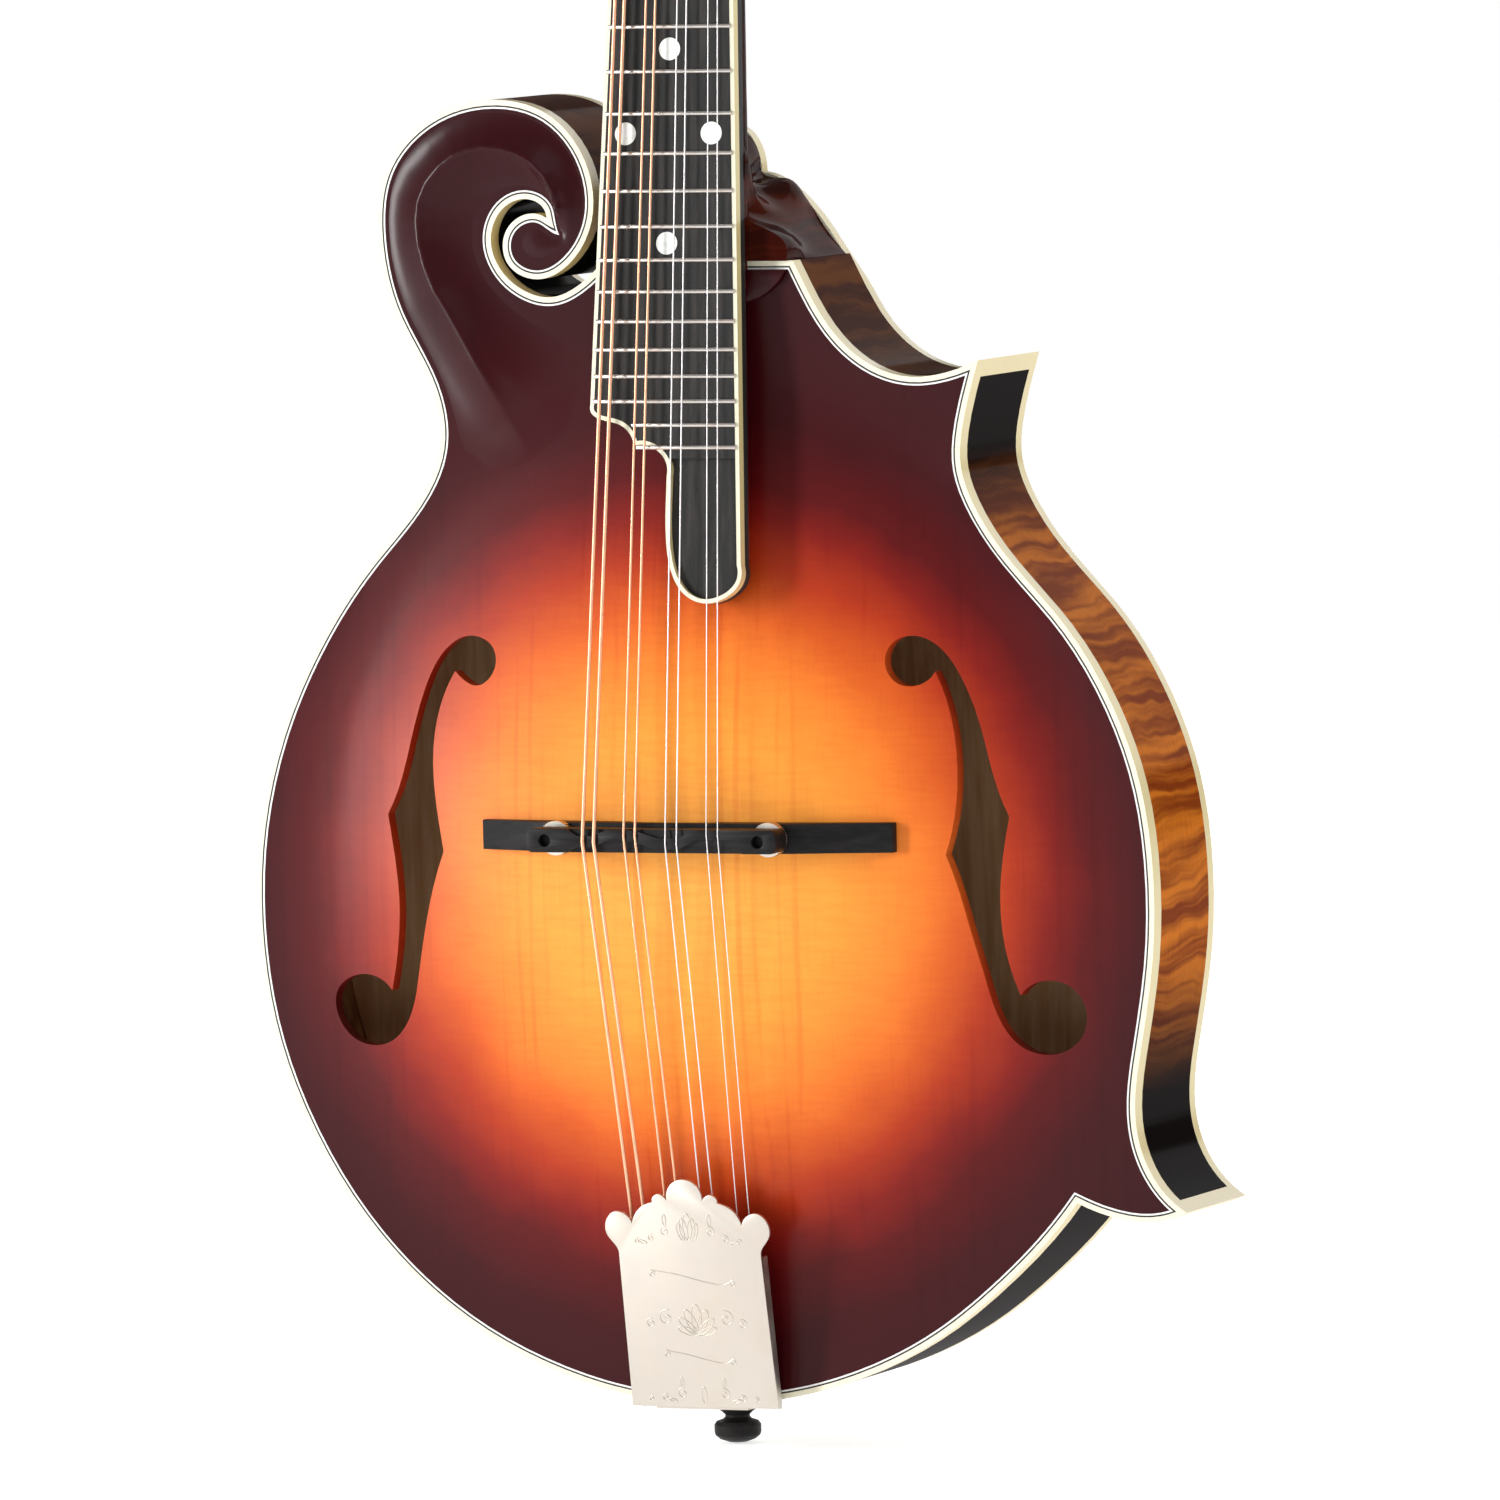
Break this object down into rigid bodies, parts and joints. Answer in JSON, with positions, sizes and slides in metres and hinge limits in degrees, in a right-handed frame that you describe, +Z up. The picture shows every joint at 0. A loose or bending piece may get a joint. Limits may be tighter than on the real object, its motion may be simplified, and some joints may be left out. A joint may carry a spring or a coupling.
{
  "type": "mandolin",
  "caption": "Carved-top mandolin with a scroll, two body points, f-shaped sound holes, paired strings, geared tuners, an adjustable bridge and a sliding tailpiece cover.",
  "frame": {"origin": "on the end pin's axis, in the middle of its knob's land", "axes": "+Z up the neck towards the headstock, -Y out of the carved top towards the strings, +X towards the side with the two points"},
  "size_m": [0.2633, 0.1081, 0.668],
  "materials": {
    "sunburst_spruce": "satin gloss sunburst",
    "flamed_maple": "gloss, curly figure",
    "dark_maple": "gloss, near black burgundy stain",
    "back_maple": "gloss sunburst, curly figure",
    "ivory_plastic": "gloss",
    "fine_purfling": "black and white lines",
    "bare_wood": "bare",
    "ebony": "oiled",
    "nickel": "polished nickel",
    "pearl": "mother of pearl",
    "bone": "polished bone",
    "steel": "satin",
    "black_laminate": "gloss",
    "button_pearloid": "pearly gloss",
    "bronze_wire": "wound phosphor bronze",
    "steel_wire": "bright plain wire",
    "paper": "printed paper"
  },
  "bodies": {
    "instrument": {"back_binding": "ivory_plastic", "back_plate": "back_maple", "bridge_base": "ebony", "bridge_posts": "steel", "cover_screws": "nickel", "end_pin": "ebony", "fret_markers": "pearl", "fretboard": "ebony", "fretboard_binding": "ivory_plastic", "frets": "nickel", "head_block": "dark_maple", "headstock_binding": "ivory_plastic", "headstock_overlay": "black_laminate", "label": "paper", "linings": "bare_wood", "neck": "dark_maple", "neck_extension": "dark_maple", "nut": "bone", "point_blocks": "bare_wood", "point_caps": "ivory_plastic", "post_bushings": "nickel", "rim_bass": "flamed_maple", "rim_treble": "flamed_maple", "strings_a": "steel_wire", "strings_d": "bronze_wire", "strings_e": "steel_wire", "strings_g": "bronze_wire", "tail_block": "bare_wood", "tailpiece_base": "nickel", "tailpiece_screws": "nickel", "tone_bars": "bare_wood", "top_binding": "ivory_plastic", "top_plate": "sunburst_spruce", "top_purfling": "fine_purfling", "truss_rod": "steel", "truss_rod_cover": "black_laminate", "tuner_plate_bass": "nickel", "tuner_plate_treble": "nickel", "tuner_screws": "nickel"},
    "button_g1": {"tuner_button_g1": "button_pearloid"},
    "post_g1": {"tuner_post_g1": "steel"},
    "button_g2": {"tuner_button_g2": "button_pearloid"},
    "post_g2": {"tuner_post_g2": "steel"},
    "button_d1": {"tuner_button_d1": "button_pearloid"},
    "post_d1": {"tuner_post_d1": "steel"},
    "button_d2": {"tuner_button_d2": "button_pearloid"},
    "post_d2": {"tuner_post_d2": "steel"},
    "button_e1": {"tuner_button_e1": "button_pearloid"},
    "post_e1": {"tuner_post_e1": "steel"},
    "button_e2": {"tuner_button_e2": "button_pearloid"},
    "post_e2": {"tuner_post_e2": "steel"},
    "button_a1": {"tuner_button_a1": "button_pearloid"},
    "post_a1": {"tuner_post_a1": "steel"},
    "button_a2": {"tuner_button_a2": "button_pearloid"},
    "post_a2": {"tuner_post_a2": "steel"},
    "saddle": {"bridge_saddle": "ebony"},
    "wheel_bass": {"thumbwheel_bass": "nickel"},
    "wheel_treble": {"thumbwheel_treble": "nickel"},
    "cover": {"tailpiece_cover": "nickel"}
  },
  "joints": [
    {"name": "button_turn_g1", "type": "hinge", "parent": "instrument", "child": "button_g1", "pos_m": [-0.0175, 0.02136, 0.53945], "axis": [1, 0, 0], "continuous": true},
    {"name": "post_turn_g1", "type": "hinge", "parent": "instrument", "child": "post_g1", "pos_m": [-0.0175, 0.00554, 0.55286], "axis": [0, 0.9466, -0.3223], "continuous": true},
    {"name": "button_turn_g2", "type": "hinge", "parent": "instrument", "child": "button_g2", "pos_m": [-0.0175, 0.02884, 0.56141], "axis": [1, 0, 0], "continuous": true},
    {"name": "post_turn_g2", "type": "hinge", "parent": "instrument", "child": "post_g2", "pos_m": [-0.0175, 0.01302, 0.57482], "axis": [0, 0.9466, -0.3223], "continuous": true},
    {"name": "button_turn_d1", "type": "hinge", "parent": "instrument", "child": "button_d1", "pos_m": [-0.0175, 0.03632, 0.58337], "axis": [1, 0, 0], "continuous": true},
    {"name": "post_turn_d1", "type": "hinge", "parent": "instrument", "child": "post_d1", "pos_m": [-0.0175, 0.0205, 0.59678], "axis": [0, 0.9466, -0.3223], "continuous": true},
    {"name": "button_turn_d2", "type": "hinge", "parent": "instrument", "child": "button_d2", "pos_m": [-0.0175, 0.04379, 0.60533], "axis": [1, 0, 0], "continuous": true},
    {"name": "post_turn_d2", "type": "hinge", "parent": "instrument", "child": "post_d2", "pos_m": [-0.0175, 0.02797, 0.61875], "axis": [0, 0.9466, -0.3223], "continuous": true},
    {"name": "button_turn_e1", "type": "hinge", "parent": "instrument", "child": "button_e1", "pos_m": [0.0175, 0.02136, 0.53945], "axis": [1, 0, 0], "continuous": true},
    {"name": "post_turn_e1", "type": "hinge", "parent": "instrument", "child": "post_e1", "pos_m": [0.0175, 0.00554, 0.55286], "axis": [0, 0.9466, -0.3223], "continuous": true},
    {"name": "button_turn_e2", "type": "hinge", "parent": "instrument", "child": "button_e2", "pos_m": [0.0175, 0.02884, 0.56141], "axis": [1, 0, 0], "continuous": true},
    {"name": "post_turn_e2", "type": "hinge", "parent": "instrument", "child": "post_e2", "pos_m": [0.0175, 0.01302, 0.57482], "axis": [0, 0.9466, -0.3223], "continuous": true},
    {"name": "button_turn_a1", "type": "hinge", "parent": "instrument", "child": "button_a1", "pos_m": [0.0175, 0.03632, 0.58337], "axis": [1, 0, 0], "continuous": true},
    {"name": "post_turn_a1", "type": "hinge", "parent": "instrument", "child": "post_a1", "pos_m": [0.0175, 0.0205, 0.59678], "axis": [0, 0.9466, -0.3223], "continuous": true},
    {"name": "button_turn_a2", "type": "hinge", "parent": "instrument", "child": "button_a2", "pos_m": [0.0175, 0.04379, 0.60533], "axis": [1, 0, 0], "continuous": true},
    {"name": "post_turn_a2", "type": "hinge", "parent": "instrument", "child": "post_a2", "pos_m": [0.0175, 0.02797, 0.61875], "axis": [0, 0.9466, -0.3223], "continuous": true},
    {"name": "saddle_lift", "type": "slide", "parent": "instrument", "child": "saddle", "axis": [0, -1, 0], "range_m": [0, 0.003], "deforming": ["strings_g", "strings_d", "strings_a", "strings_e"]},
    {"name": "wheel_turn_bass", "type": "hinge", "parent": "saddle", "child": "wheel_bass", "pos_m": [-0.0306, -0.0408, 0.1599], "axis": [0, -1, 0], "range_deg": [0, 1350.1]},
    {"name": "wheel_turn_treble", "type": "hinge", "parent": "saddle", "child": "wheel_treble", "pos_m": [0.0298, -0.0408, 0.1599], "axis": [0, -1, 0], "range_deg": [0, 1350.1]},
    {"name": "cover_slide", "type": "slide", "parent": "instrument", "child": "cover", "axis": [0, -0.1994, 0.9799], "range_m": [0, 0.012]}
  ],
  "couplings": [
    {"joint": "post_turn_g1", "follows": "button_turn_g1", "ratio": 0.066667},
    {"joint": "post_turn_g2", "follows": "button_turn_g2", "ratio": 0.066667},
    {"joint": "post_turn_d1", "follows": "button_turn_d1", "ratio": 0.066667},
    {"joint": "post_turn_d2", "follows": "button_turn_d2", "ratio": 0.066667},
    {"joint": "post_turn_e1", "follows": "button_turn_e1", "ratio": 0.066667},
    {"joint": "post_turn_e2", "follows": "button_turn_e2", "ratio": 0.066667},
    {"joint": "post_turn_a1", "follows": "button_turn_a1", "ratio": 0.066667},
    {"joint": "post_turn_a2", "follows": "button_turn_a2", "ratio": 0.066667},
    {"joint": "wheel_turn_bass", "follows": "saddle_lift", "rad_per_m": 7854},
    {"joint": "wheel_turn_treble", "follows": "saddle_lift", "rad_per_m": 7854}
  ]
}
